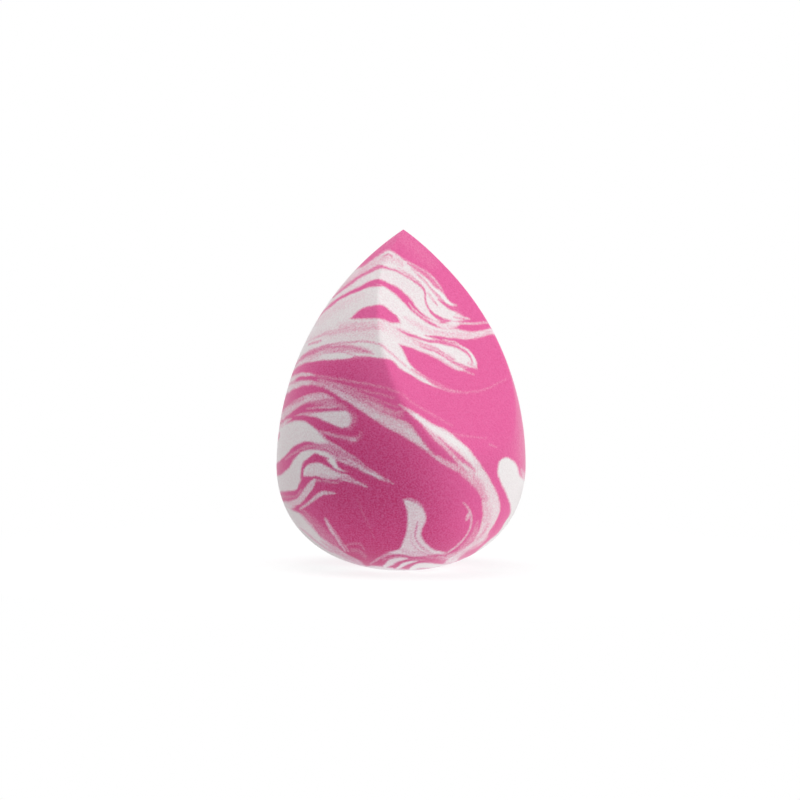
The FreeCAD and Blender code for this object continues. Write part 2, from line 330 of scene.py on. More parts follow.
# Marbling over those bodies: colour, strength, softness of the edge in pixels, and a line of
# (column, row, half width) points
streaks = [
    # tip, and the crown over the ridge
    ("white", 0.05, 10.0, [(380, 250, 6), (402, 236, 8), (430, 262, 6)]),
    ("pink", 0.3, 5.0, [(338, 292, 2), (354, 279, 4), (372, 265, 4), (388, 258, 3), (402, 264, 2)]),
    ("pink", 0.6, 1.4, [(352, 271, 0.6), (364, 265.4, 0.9), (372, 260.2, 0.9), (380, 254.8, 0.9),
                        (386, 251.2, 0.9), (390, 250.2, 1), (398, 255, 0.9), (408, 262, 0.9)]),
    ("pink", 0.6, 1.3, [(384, 256.5, 0.5), (388, 255, 1), (392, 257, 0.6)]),
    ("pink", 0.85, 1.3, [(333, 298, 0.8), (340, 292, 0.9), (348, 286.3, 1.1), (356, 280.2, 1.2),
                         (364, 275.2, 1.4), (372, 271, 1.7), (380, 267.2, 2), (388, 268.6, 1.1),
                         (396, 271.4, 0.9), (404, 275, 0.9), (412, 280, 1), (420, 285.6, 1.3),
                         (425, 292, 1), (425.6, 301, 0.9), (428, 307.5, 1), (433, 313, 1.3),
                         (440, 318.5, 1.6)]),
    ("pink", 0.25, 2.5, [(336, 294, 1), (346, 287, 2), (358, 279, 1)]),
    ("pink", 0.55, 1.3, [(398, 268.5, 0.5), (404, 272, 0.9), (412, 277, 1.1), (420, 283, 0.8)]),
    ("pink", 0.9, 1.2, [(334, 303.5, 0.5), (348, 295.4, 1), (364, 288.6, 1.4), (374, 286.4, 1.4),
                        (384, 286, 0.6)]),
    # crown, strands right of the ridge
    ("pink", 0.85, 1.8, [(408, 263, 0.8), (416, 267.8, 2.2), (424, 272.8, 3), (432, 280.8, 3),
                         (438, 286.8, 2), (444, 292.5, 1)]),
    ("white", 0.3, 1.1, [(406, 261, 0.4), (418, 267.6, 0.6), (428, 273.6, 0.6), (436, 282, 0.6),
                         (443, 291.5, 0.4)]),
    ("white", 0.6, 1.3, [(411, 270.5, 0.5), (420, 275, 0.8), (428, 281.2, 1.3), (436, 290, 1.3),
                         (444, 297.5, 1.5), (450, 302.5, 1), (457, 305, 0.4)]),
    ("pink", 0.6, 1.3, [(411, 268.5, 0.5), (420, 276.4, 1), (428, 285.2, 1), (436, 293.8, 1.3),
                        (444, 302.5, 1.4)]),
    ("pink", 0.95, 1.4, [(438, 299, 0.4), (444, 303.6, 1.4), (450, 306.6, 2.2), (456, 308.4, 2.8),
                         (466, 312.5, 4)]),
    ("pink", 0.5, 1.6, [(428, 293, 0.6), (433, 300, 1), (437, 304.6, 1)]),
    ("pink", 0.7, 1.3, [(454, 316.6, 0.4), (462, 318, 1), (468, 320, 0.9), (477, 319.4, 0.9)]),
    ("pink", 0.5, 2.0, [(456, 313, 0.6), (464, 315, 1.6), (474, 316, 2)]),
    ("white", 0.75, 1.6, [(424, 318, 0.6), (430, 320.8, 1.2), (436, 322.6, 2.2), (442, 325.6, 2.4),
                          (450, 325, 3.4), (457, 324.4, 2.4)]),
    ("pink", 0.4, 1.4, [(420, 316, 0.6), (428, 321, 1), (435, 325.6, 0.6), (440, 328, 0.3)]),
    ("pink", 0.85, 1.4, [(430, 311, 0.6), (436, 316, 1.2), (441, 318.8, 1.6), (446, 320.4, 1.5),
                         (451, 320.2, 0.5)]),
    ("white", 0.55, 1.0, [(409, 303, 0.3), (413, 308.5, 0.7), (419, 314.5, 0.7), (424, 318.5, 0.4)]),
    # fingers to the right of the ridge
    ("pink", 0.14, 6.0, [(390, 330, 4), (408, 340, 5), (420, 350, 3)]),
    ("white", 0.6, 1.4, [(450, 322.6, 1.2), (458, 322.6, 1.6), (464, 323, 1.2), (474, 323, 0.9),
                         (482, 321.6, 0.9), (490, 319.5, 0.8)]),
    ("pink", 0.95, 1.4, [(457, 326, 0.3), (462, 327, 1.3), (468, 327.5, 1.8), (474, 327.6, 2.2),
                         (481, 326.5, 2.3), (488, 325, 1.6), (495, 322, 1)]),
    ("pink", 0.3, 3.0, [(436, 332, 1), (455, 334, 3), (475, 335, 3), (494, 330, 2.5)]),
    ("pink", 0.25, 3.0, [(405, 318, 1), (420, 327, 2.5), (435, 333, 2)]),
    ("pink", 0.25, 1.6, [(384, 322, 0.6), (396, 328, 1), (410, 333, 1)]),
    ("white", 0.6, 1.3, [(443, 339.4, 0.4), (448, 340.4, 0.7), (454, 342, 0.9), (460, 345, 0.9),
                         (466, 348.7, 1), (470, 353, 1.1), (473, 358.5, 1.3), (475, 366, 0.8)]),
    ("pink", 0.88, 1.4, [(397, 329.8, 0.4), (404, 333.2, 1.1), (410, 335.8, 1.5), (416, 337.6, 1.5),
                         (424, 339.4, 1.2), (432, 341.4, 1.7), (440, 342.2, 1.8), (448, 343.8, 1.6),
                         (454, 345.6, 1.4), (460, 348, 1.4), (466, 352.4, 1.3), (470, 357.5, 0.9),
                         (473, 363, 0.5)]),
    ("pink", 0.5, 1.2, [(412, 339.8, 0.4), (424, 343.8, 0.8), (432, 347.2, 0.9), (440, 350.6, 0.7),
                        (448, 356, 0.6), (455, 360, 0.6)]),
    ("pink", 0.35, 2.6, [(414, 343, 0.8), (426, 346.5, 2.4), (440, 352, 2.2), (452, 358.5, 2)]),
    ("pink", 0.35, 2.0, [(424, 352, 0.4), (440, 359, 1.6), (452, 366, 2), (464, 370.5, 2)]),
    ("pink", 0.75, 1.3, [(420, 346, 0.5), (432, 350.4, 0.8), (440, 353.8, 0.9), (448, 358.6, 0.9),
                         (454, 362, 1.4), (460, 364.6, 1.8), (467, 368, 2.2), (475, 371, 2)]),
    ("pink", 0.45, 2.0, [(468, 362, 0.8), (474, 366, 1.6), (478, 368, 1.5)]),
    ("white", 0.35, 1.4, [(444, 360.5, 0.6), (454, 365.6, 1), (460, 367.8, 1), (466, 371, 0.8),
                          (474, 374, 0.4)]),
    # tail of the upper fold, hairlines on the flat cut, and a painted highlight along the right edge
    ("pink", 0.85, 2.0, [(412, 369.5, 0.4), (424, 376.8, 1.1), (432, 381.4, 2), (440, 385.4, 2.8),
                         (450, 389, 3), (464, 391.5, 2.4)]),
    ("pink", 0.25, 1.2, [(402, 362, 0.3), (412, 372, 0.7), (424, 380, 0.5)]),
    ("white", 0.13, 1.6, [(438, 386.5, 0.6), (446, 389.5, 0.9), (461, 391.6, 0.9), (478, 390.6, 0.8),
                          (492, 385.4, 0.7), (506, 378, 0.5)]),
    ("white", 0.12, 1.8, [(398, 391.6, 0.5), (410, 400, 0.8), (421, 408, 0.8), (439, 418, 0.7),
                          (452, 425, 0.4)]),
    ("white", 0.1, 1.6, [(440, 429, 0.5), (460, 434, 0.8), (472, 436, 0.8), (486, 437, 0.5)]),
    ("white", 0.2, 1.3, [(488, 443, 0.4), (492, 444.4, 0.8), (496, 445.5, 0.3)]),
    # painted highlight: a faint pale bloom along the right rim
    ("white", 0.09, 11.0, [(523, 398, 0.5), (523, 425, 3), (523, 452, 4), (524, 478, 2)]),
    # upper fold, left of the ridge
    ("pink", 0.14, 6.0, [(318, 322, 4), (340, 306, 4), (362, 296, 2)]),
    ("pink", 0.14, 6.0, [(312, 338, 3), (340, 334, 5), (372, 334, 5)]),
    ("pink", 0.28, 5.0, [(342, 327, 3), (362, 326, 4), (381, 326, 4)]),
    ("pink", 0.3, 1.8, [(307, 343, 0.6), (320, 337, 1), (332, 332, 1), (350, 328.5, 0.6)]),
    ("pink", 0.3, 1.8, [(316, 338, 0.6), (334, 334, 1), (352, 331, 1), (376, 329, 0.8), (386, 331, 0.5)]),
    ("pink", 0.65, 1.4, [(309, 346, 0.8), (316, 343.4, 1), (322, 341.6, 0.5)]),
    ("pink", 0.52, 2.6, [(303, 358.5, 1), (310, 354.6, 2.4), (318, 351.6, 3), (326, 350, 3.4),
                         (336, 349, 3.8), (346, 348.6, 3.8), (358, 350, 3.6), (370, 353, 1.6)]),
    ("pink", 0.55, 1.4, [(295, 366, 0.8), (302, 359, 1), (308, 354.8, 1.4), (316, 350.4, 1.4),
                         (326, 346.8, 1), (340, 343.8, 0.9), (356, 342.2, 0.9), (366, 342.4, 0.9),
                         (374, 343.6, 1), (381, 345.6, 1.1), (388, 351, 0.9), (396, 358, 0.8),
                         (406, 366.5, 0.5)]),
    ("pink", 0.5, 1.3, [(300, 361.5, 0.7), (314, 353.6, 0.8), (328, 348.8, 0.9), (340, 347.4, 0.9),
                        (356, 348.4, 1), (364, 351.2, 1.1), (374, 355.2, 0.4)]),
    ("pink", 0.45, 1.3, [(320, 355.6, 0.5), (334, 352.6, 0.8), (342, 352.6, 0.9), (350, 355, 0.9),
                         (360, 358, 0.6)]),
    ("pink", 0.35, 3.5, [(291, 370, 1.5), (302, 361, 3), (318, 357, 2.5)]),
    ("pink", 0.85, 1.5, [(338, 361, 0.5), (350, 360, 1), (358, 358.8, 2), (368, 358.6, 1.5),
                         (376, 359.4, 0.7)]),
    # left edge, between the upper fold and the left sweep
    ("white", 0.65, 1.6, [(286, 385, 2), (292, 380, 2), (300, 376.2, 1.8), (308, 375.2, 1.6),
                          (314, 376.4, 0.5)]),
    ("white", 0.5, 3.0, [(283, 396, 2), (288, 388, 3), (293, 382, 3)]),
    ("pink", 0.5, 1.4, [(288, 386.5, 0.5), (294, 382.8, 0.9), (302, 379.4, 1.1), (314, 378.6, 1),
                        (328, 381, 0.6)]),
    ("white", 0.2, 1.8, [(314, 376.5, 0.8), (330, 378.4, 1), (346, 381.2, 1), (360, 383.8, 1),
                         (376, 386, 0.9), (388, 389, 0.8), (398, 392.5, 0.4)]),
    ("white", 0.18, 2.0, [(318, 380, 0.8), (334, 384.5, 1.4), (350, 388.5, 1.2), (364, 391, 1),
                          (380, 394.5, 0.9), (394, 398, 0.4)]),
    ("white", 0.25, 4.0, [(320, 382, 1.5), (336, 387, 3), (352, 394, 3.5), (366, 400.5, 3),
                          (380, 407, 2.5)]),
    ("white", 0.2, 2.5, [(362, 399.5, 1), (378, 406, 2), (392, 412.5, 2), (402, 416, 1)]),
    ("white", 0.16, 1.6, [(352, 390, 0.6), (370, 397.5, 0.9), (386, 403, 0.9), (398, 407, 0.5)]),
    ("white", 0.22, 2.5, [(372, 408, 0.8), (388, 411, 1.5), (402, 412, 1)]),
    # left sweep
    ("white", 0.5, 2.4, [(284, 394, 2), (292, 388, 2.2), (300, 384.6, 1.8), (310, 383, 0.8)]),
    ("pink", 0.3, 1.8, [(312, 384, 0.6), (324, 387, 1.2), (336, 391.4, 0.8)]),
    ("white", 0.3, 2.0, [(340, 396.5, 0.8), (358, 406, 1.5), (368, 411.8, 2), (380, 418, 2)]),
    ("white", 0.25, 3.0, [(374, 415, 2), (392, 424, 4), (406, 431, 4), (418, 440, 3)]),
    ("white", 0.3, 2.2, [(404, 427, 1.4), (416, 437, 2.4), (424, 445, 1.6)]),
    ("white", 0.45, 2.4, [(438, 456, 1.4), (450, 463, 2), (462, 471, 2.4), (474, 483, 2.6)]),
    # right sweep
    ("pink", 0.4, 1.6, [(401, 406, 1), (408, 410.5, 1.2), (414, 414, 0.8)]),
    ("white", 0.7, 1.8, [(413, 413, 0.5), (426, 423.4, 1.6), (440, 432.4, 2.4), (452, 439.4, 3),
                         (462, 447.6, 2.2), (472, 458.5, 1.8)]),
    ("white", 0.5, 2.2, [(424, 426, 0.6), (432, 433.6, 2.2), (440, 441, 2.4), (448, 449, 2),
                         (458, 461, 2), (472, 474, 2)]),
    ("pink", 0.85, 1.6, [(438, 436, 0.4), (445, 443, 0.9), (452, 449.8, 1.7), (460, 456.8, 2.6),
                         (467, 462.8, 1.8), (475, 470, 0.8)]),
    ("pink", 0.8, 1.6, [(412, 420, 0.8), (420, 432, 1.6), (428, 441, 1.6), (436, 449.6, 1.4),
                        (444, 456, 0.8), (453, 462, 0.4)]),
    ("pink", 0.38, 3.5, [(464, 468, 1), (471, 474, 3.4), (479, 485, 4), (484, 496, 4)]),
    ("pink", 0.25, 4.0, [(474, 480, 2), (482, 494, 3), (486, 510, 4), (483, 526, 4), (474, 542, 3)]),
    ("white", 0.5, 1.6, [(482, 521, 0.8), (479.6, 530, 1.4), (475, 537, 1)]),
    ("pink", 0.35, 2.0, [(488, 522, 0.5), (482, 533, 1.4), (474, 543, 1.6), (462, 551, 1.2)]),
    ("pink", 0.5, 1.3, [(494, 523, 0.4), (487, 534.5, 0.9), (478, 543.5, 1), (464, 552.5, 0.8),
                        (452, 558.5, 0.5)]),
    ("pink", 0.7, 1.8, [(484, 543, 0.6), (476, 548, 1.6), (468, 552.6, 1.8), (460, 557, 1.4)]),
    ("white", 0.5, 1.8, [(481, 537.5, 1.3), (472, 543.4, 1.3), (464, 548, 1.4), (456, 551.6, 1.2),
                         (448, 555, 1.4)]),
    ("pink", 0.9, 1.4, [(499.5, 512, 0.4), (496.5, 522, 1.6), (491.6, 530.5, 2.6), (488.4, 536.5, 1.6),
                        (483, 542.5, 1)]),
    ("white", 0.25, 3.0, [(477, 520, 0.5), (474, 532, 2.5), (468, 541, 2.5), (460, 548, 1.5)]),
    # rim beside and below the side drop
    ("white", 0.9, 1.3, [(509, 518, 2), (500.5, 532, 2.2), (492.5, 539.6, 2.2), (484, 546, 2),
                         (476, 552, 1.2), (471, 555, 0.5)]),
    ("white", 0.5, 2.5, [(521, 468, 0.5), (524, 476, 2), (525, 484, 2)]),
    # curl band and the eye below it
    ("white", 0.35, 1.8, [(282, 419, 2), (288, 413.8, 2.2), (294, 408.4, 1.6), (300, 404.6, 1.2),
                          (306, 401.6, 1), (313, 399, 0.7)]),
    ("white", 0.26, 4.5, [(304, 400, 1.5), (320, 402.5, 3.5), (336, 405, 3), (346, 408, 1)]),
    ("white", 0.42, 1.8, [(308, 409.5, 0.4), (316, 408.6, 0.8), (324, 408.6, 1.2), (331, 408, 1.3),
                          (337, 407, 0.5)]),
    ("pink", 0.5, 1.6, [(286, 407.5, 0.6), (294, 403.6, 1), (304, 399.4, 0.6)]),
    ("white", 0.65, 2.0, [(277, 434, 1.6), (282, 427, 2), (287, 422, 1.6), (291, 420, 0.6)]),
    ("pink", 0.6, 1.5, [(288, 419, 0.4), (298, 413.4, 0.9), (312, 411.6, 1), (328, 410.8, 0.9),
                        (342, 409.5, 0.5)]),
    ("pink", 0.5, 1.8, [(292, 417.5, 0.8), (300, 415, 1.5), (308, 414, 1.8), (316, 413.2, 1.1),
                        (326, 411.4, 0.8), (338, 410.2, 0.6)]),
    ("white", 0.25, 4.0, [(348, 413, 2), (354, 419, 3), (350, 427, 2)]),
    ("pink", 0.55, 6.0, [(350, 409, 1.4), (353, 417, 2.2), (353, 425, 1.6), (347, 430, 0.8)]),
    ("pink", 0.3, 3.0, [(298, 418, 1), (312, 417.5, 1.6), (322, 419.5, 1.2)]),
    # left fold, its notch and its tail
    ("pink", 0.8, 1.2, [(279.5, 433, 0.4), (279, 437.5, 1.2), (277.5, 442, 0.6)]),
    ("white", 0.42, 2.4, [(320, 431.5, 0.8), (332, 434.8, 1.1), (346, 438.2, 1.2), (356, 440.4, 1.6)]),
    ("white", 0.22, 4.5, [(352, 440.5, 1.4), (358, 438.5, 1.4), (361, 433, 0.6)]),
    ("pink", 0.68, 2.2, [(314, 445, 0.8), (324, 445.8, 2.4), (332, 448.4, 3.2), (340, 453, 3),
                         (350, 457.6, 2.2), (360, 463.6, 1.8), (372, 471.5, 1.2)]),
    ("pink", 0.45, 2.4, [(320, 434, 0.5), (331, 443.5, 1), (350, 455.6, 1.2), (370, 469.6, 1.2),
                         (393, 483.5, 1)]),
    ("white", 0.3, 2.0, [(286, 460, 0.6), (294, 454.6, 1), (302, 449.5, 1.2), (312, 446.4, 1.4),
                         (324, 448.4, 1.2)]),
    ("white", 0.5, 2.0, [(318, 450.6, 0.8), (325, 452, 1), (331, 454.6, 1), (336, 458, 2),
                         (342, 460, 1.9), (350, 463.6, 1.6), (358, 467.2, 1.3), (368, 472.2, 1.2),
                         (380, 478, 0.6)]),
    # lower fold and its core
    ("pink", 0.8, 1.4, [(317, 456, 0.8), (324, 457.4, 1.6), (329, 458.6, 0.8)]),
    ("pink", 0.9, 1.5, [(302, 478, 1.2), (304, 466, 1.2), (309, 460.6, 1.6), (316, 457.4, 2.6),
                        (323, 460.6, 3), (330, 466, 1.5), (336, 469.8, 1.2), (344, 473, 1)]),
    ("white", 0.6, 1.8, [(330, 460.5, 1), (335, 463, 2), (338, 466.4, 0.8)]),
    ("pink", 0.9, 1.5, [(338, 463.6, 0.8), (342, 466.6, 2.2), (350, 470.6, 2.4), (358, 475, 2),
                        (368, 481, 1.4), (377, 486.5, 0.5)]),
    ("white", 0.7, 1.5, [(304.8, 475.5, 0.6), (306, 471, 1.6), (309, 467, 0.8)]),
    ("white", 0.7, 1.5, [(315, 475.4, 0.6), (324, 477, 1.3), (331, 478, 1), (337, 478.4, 0.4)]),
    ("pink", 0.5, 2.4, [(340, 474, 0.6), (350, 479, 1.6), (362, 485, 1.6)]),
    ("pink", 0.6, 1.2, [(336, 476.5, 0.3), (342, 478.2, 0.9), (350, 479.8, 0.6), (356, 482.4, 0.3)]),
    ("white", 0.3, 1.8, [(316, 480.6, 0.8), (328, 481.4, 1), (338, 482.6, 0.6)]),
    ("white", 0.26, 1.6, [(340, 481, 0.8), (349, 480, 0.6), (358, 481.6, 0.8), (367, 485, 0.4)]),
    ("pink", 0.8, 1.4, [(280, 494.6, 0.8), (288, 495, 1), (294, 494.6, 1.2), (299, 490.5, 1.5),
                        (303, 484.5, 1.4), (308, 479, 1), (314, 477.6, 0.6)]),
    ("white", 0.7, 1.6, [(279, 505, 2.4), (288, 504.6, 2.4), (294, 503.4, 2.8), (300, 500.8, 3),
                         (306, 493.4, 3.2), (311.5, 485.4, 3.4), (315, 481, 1.8)]),
    ("white", 0.25, 1.3, [(278, 497.5, 0.8), (290, 497.6, 0.9), (297, 496, 0.8), (302, 490, 0.6)]),
    ("white", 0.68, 1.6, [(300, 510, 0.6), (306, 505.4, 1.1), (312, 501.6, 1.4), (318, 496.2, 1.8),
                          (324, 492.9, 2), (330, 492.6, 1.3), (335, 493.5, 0.4)]),
    ("pink", 0.75, 1.4, [(296, 510, 0.9), (302, 505.8, 0.9), (307, 500.4, 1.3), (312, 494.4, 1.8),
                         (316, 489, 1.4)]),
    # base, left of the middle
    ("white", 0.7, 2.0, [(281, 506, 2), (288, 507.4, 2.4), (294, 507.6, 1)]),
    ("white", 0.18, 1.4, [(300, 507.5, 0.5), (306, 512.8, 0.8), (312, 519, 0.6)]),
    ("white", 0.18, 5.0, [(304, 513, 1), (313, 523, 4), (326, 536, 4), (338, 547, 3)]),
    ("pink", 0.42, 1.3, [(300, 528, 0.4), (308, 534.6, 0.8), (320, 544.4, 0.9), (332, 552, 1)]),
    ("pink", 0.45, 2.5, [(321, 541, 0.4), (330, 547, 1.6), (338, 552.4, 2.6), (346, 556.6, 2.6),
                         (354, 560.6, 2.4), (362, 564.6, 2)]),
    ("pink", 0.3, 1.3, [(300, 514, 0.4), (309, 524, 0.8), (321, 537, 0.8), (337, 549, 0.8)]),
    ("pink", 0.2, 4.0, [(346, 561, 1), (358, 565, 2), (370, 568, 2)]),
    ("white", 0.58, 1.6, [(325.5, 518.5, 0.8), (329.6, 526, 1.9), (335.5, 535.5, 1.2), (341, 544, 0.8),
                          (346, 551, 0.5)]),
    ("white", 0.32, 1.4, [(334, 528, 0.3), (341, 540, 0.8), (349, 551, 0.7)]),
    ("white", 0.2, 1.8, [(346, 546, 0.5), (352, 543.6, 0.9), (360, 543.4, 0.8), (364, 549, 0.5)]),
    ("white", 0.2, 2.8, [(352, 550, 1), (359, 551, 1.6), (365, 556, 1.4)]),
    ("white", 0.06, 1.6, [(357, 498, 0.4), (364, 514, 0.7), (375, 538, 0.4)]),
    ("white", 0.85, 2.0, [(356, 566.5, 1), (366, 568.5, 2), (376, 568.6, 3), (398, 571, 2.6),
                          (425, 571, 2.4), (446, 568, 1.6)]),
    # column and the foot of the front
    ("pink", 0.7, 1.4, [(402, 498.2, 0.8), (409, 498.2, 1), (416, 501, 1.2), (421, 506, 0.6)]),
    ("pink", 0.6, 1.4, [(418, 520, 0.3), (416, 528, 1.4), (415.5, 536, 0.9), (421, 546, 0.8),
                        (432, 552.5, 0.5)]),
    ("pink", 0.3, 1.4, [(411, 530, 0.4), (412, 541, 0.8), (418, 549, 0.8), (428, 554, 0.4)]),
    ("pink", 0.3, 2.4, [(398, 548, 1), (412, 552, 2), (428, 553, 1.6)]),
    ("white", 0.55, 1.3, [(463, 501, 0.4), (469, 509, 0.8), (470.6, 518, 0.9), (469.4, 527, 0.8),
                          (464, 537, 0.7), (456, 545, 0.8), (448, 551, 0.7)]),
    ("white", 0.6, 1.4, [(468.5, 511, 0.6), (467, 515.5, 1.3), (466, 519, 0.4)]),
    ("white", 0.42, 1.4, [(371, 563.5, 0.5), (380, 557.5, 1), (390, 552.2, 1.2), (400, 550, 0.8)]),
    ("white", 0.25, 3.0, [(384, 558, 1), (404, 555, 2.5), (424, 557, 3), (442, 559, 2)]),
    ("pink", 0.85, 1.3, [(386, 556.6, 0.5), (395, 554.4, 0.9), (404, 554.4, 1.2), (412, 555.8, 1.2),
                         (424, 557.4, 1.3), (436, 559.2, 1.2), (444, 560.4, 0.6)]),
    ("white", 0.9, 1.5, [(385, 566, 1.8), (391, 561.6, 2.8), (399, 558.8, 2), (407, 557.2, 0.6)]),
    ("white", 0.9, 1.4, [(398, 567.4, 1.4), (404, 563.6, 1.8), (411, 561.4, 1.2), (417, 560, 0.4)]),
    ("white", 0.95, 1.5, [(411, 568.4, 1.6), (418, 565.4, 2.6), (428, 564.6, 2.9), (441, 565, 1.4)]),
    ("pink", 0.5, 1.2, [(394, 568.4, 0.6), (400, 562.6, 0.8), (410, 558.8, 0.8)]),
    ("pink", 0.6, 1.2, [(405, 568, 0.6), (410, 565.4, 0.8), (416, 561.8, 0.8), (426, 560.2, 0.9),
                        (440, 561, 0.9)]),
    # strands that meet right of the column
    ("white", 0.4, 1.6, [(430, 550.6, 0.6), (438, 551.4, 0.9), (444, 553.5, 1)]),
    ("pink", 0.5, 1.2, [(434, 553.4, 0.4), (441, 553.4, 0.7), (446, 552, 0.4)]),
    ("white", 0.4, 1.6, [(438, 555.4, 0.7), (447, 557, 1.2), (456, 556.4, 1), (464, 553.5, 0.5)]),
    ("white", 0.35, 1.6, [(446, 560.5, 0.8), (456, 560, 1.2), (466, 557, 0.8)]),
    ("pink", 0.3, 2.5, [(442, 561.5, 0.8), (451, 562.5, 1.8), (460, 560, 1.2)]),
    ("pink", 0.75, 1.5, [(458, 558.5, 0.5), (465, 554.2, 1.4), (472, 551, 1.6), (480, 545.4, 0.6)]),
]
shareOf = dict(pink=0.0, white=1.0)
marbling = dict(
    # painted shade: the pink is darker and more saturated along this line, over the shaded front and left
    # side, which is given as a streak's is
    shadeLine=[(342, 380, 20), (344, 440, 43), (366, 490, 64), (386, 545, 61)],
    shadeEdge=40.0,                   # softness of its border, in pixels
    bodyEdge=1.5,                    # softness of the layers' edges, in pixels
    streakEdge=0.8,                  # and of the streaks' edges, as a share of the one they give
    waver=0.8,                       # how far edges waver, in pixels
    waverSize=2.2 * mm,
    waverSeed=1,                     # so that each run wavers alike
    backFrom=-1 * mm,                # behind here the marbling drifts away from the front's,
    backTo=22 * mm,                  # more and more up to here
    backOnset=1.5,                   # the higher, the gentler the drift begins
    backDrift=(-16.0, -50.0),        # columns and rows between a spot and the colour that it takes
    backWaver=20.0,                  # unevenness of the drift, in pixels
    backSize=17 * mm,
)


def brush(share, places, line, target, strength, soft, closed=False):
    # brings share towards target along a line, or all over a closed one
    rows = places[:, 1]              # in rising order, so that a stretch of rows is one slice
    distance = np.full(len(places), float(soft))
    within = np.zeros(len(places), bool)
    for start, end in zip(line, np.roll(line, -1, axis=0) if closed else line[1:]):
        low, high = sorted((start[1], end[1]))
        reach = soft + max(start[2], end[2])
        near = slice(*np.searchsorted(rows, (low - reach, high + reach)))
        run = end[:2] - start[:2]
        spots = places[near] - start[:2]
        along = np.clip(spots @ run / (run @ run), 0, 1)
        apart = spots - along[:, None] * run
        half = start[2] + along * (end[2] - start[2])
        distance[near] = np.minimum(distance[near], np.hypot(apart[:, 0], apart[:, 1]) - half)
        if closed and low < high:
            level = slice(*np.searchsorted(rows, (low, high)))
            spots = places[level] - start[:2]
            within[level] ^= spots[:, 0] < spots[:, 1] * run[0] / run[1]
    distance[within] *= -1
    cover = np.clip(0.5 - distance / (2 * soft), 0, 1)
    share += (target - share) * cover * cover * (3 - 2 * cover) * strength


def marble(mesh):                    # how white the foam is at each vertex, and how much painted shade darkens its pink
    co = np.empty(len(mesh.vertices) * 3)
    mesh.vertices.foreach_get("co", co)
    co = co.reshape(-1, 3)
    fine = np.array([noise.noise_vector(Vector(p) / marbling["waverSize"]) for p in co])
    broad = np.array([noise.noise_vector(Vector(p) / marbling["backSize"]) for p in co])
    behind = np.clip((co[:, 1] - marbling["backFrom"]) / (marbling["backTo"] - marbling["backFrom"]), 0, 1)
    pulled = marbling["backDrift"] + marbling["backWaver"] * broad[:, :2]
    drift = behind[:, None] ** marbling["backOnset"] * pulled
    places = photoPlaces(co) + marbling["waver"] * fine[:, :2] + drift
    order = np.argsort(places[:, 1])
    places = places[order]
    share = np.zeros(len(co))
    for name, layer in layers.items():
        outline = np.pad(layerOutline(name), ((0, 0), (0, 1)))         # no half width
        brush(share, places, outline, layer["white"], 1, marbling["bodyEdge"], closed=True)
    for colour, strength, soft, points in streaks:
        brush(share, places, smoothLine(points), shareOf[colour], strength, soft * marbling["streakEdge"])
    # painted shade over the front and left, where the pink turns darker and more saturated
    shadeAmount = np.zeros(len(co))
    brush(shadeAmount, places, smoothLine(marbling["shadeLine"]), 1, 1, marbling["shadeEdge"])
    for name, values in (("whiteShare", share), ("paintedShade", shadeAmount)):
        placed = np.empty(len(co), np.float32)
        placed[order] = values
        mesh.attributes.new(name, "FLOAT", "POINT").data.foreach_set("value", placed)


noise.seed_set(marbling["waverSeed"])
for piece in pieces.values():
    marble(piece.data)
print("marbling drawn with", len(layers), "bodies and", len(streaks), "streaks")


# Shader maths as Python expressions on sockets
class Wire:
    def __init__(self, tree, socket=None):
        self.tree = tree
        self.socket = socket

    def node(self, kind, settings=None, inputs=None, out=0):
        made = self.tree.nodes.new(kind)
        for key, value in (settings or {}).items():
            setattr(made, key, value)
        for key, value in (inputs or {}).items():
            if isinstance(value, Wire):
                self.tree.links.new(value.socket, made.inputs[key])
            else:
                made.inputs[key].default_value = value
        return Wire(self.tree, made.outputs[out] if len(made.outputs) else None)

    def maths(self, operation, a, b):
        return self.node("ShaderNodeMath", dict(operation=operation), {0: a, 1: b})

    def __add__(self, other):
        return self.maths("ADD", self, other)

    def __radd__(self, other):
        return self.maths("ADD", other, self)

    def __sub__(self, other):
        return self.maths("SUBTRACT", self, other)

    def __rsub__(self, other):
        return self.maths("SUBTRACT", other, self)

    def __mul__(self, other):
        return self.maths("MULTIPLY", self, other)

    def __rmul__(self, other):
        return self.maths("MULTIPLY", other, self)


foam = dict(
    # shaded copy of the pink, painted shade: darker and more saturated, with darker pores
    shadedPink=(0.68, 0.112, 0.32, 1),
    shadedPinkPore=(0.63, 0.029, 0.176, 1),
    shadeTint=(0, 0, 0.045, 1),          # painted shade tint: a bluish cast that half-mixed foam gains in the painted shade
    # lit copy of the pink, and of its pores
    pink=(0.8, 0.143, 0.378, 1),
    pinkPore=(0.79, 0.094, 0.312, 1),
    white=(0.88, 0.855, 0.85, 1),
    pore=0.3 * mm,                   # size of the foam's cells
    grainDetail=2.0,
    grainRoughness=0.55,
    poreFrom=0.7,                    # grain at which a pore begins to show
    poreTo=0.3,                      # and at which it is all pore
    edgeGrain=1.1,                   # how far the cells break up the marbling's edges
    cellPits=0.5,                    # how much the round cells add to the grain's pits
    pitDepth=0.12 * mm,
    pitStrength=0.35,
    pitShade=0.94,                   # how dark the deepest pits are
    pitTop=0.4,                      # height above which a pit no longer darkens
    roughness=0.7,
    specular=0.3,
    fuzz=0.4,                        # pale bloom where the foam is seen along its surface
    fuzzSpread=0.35,
)


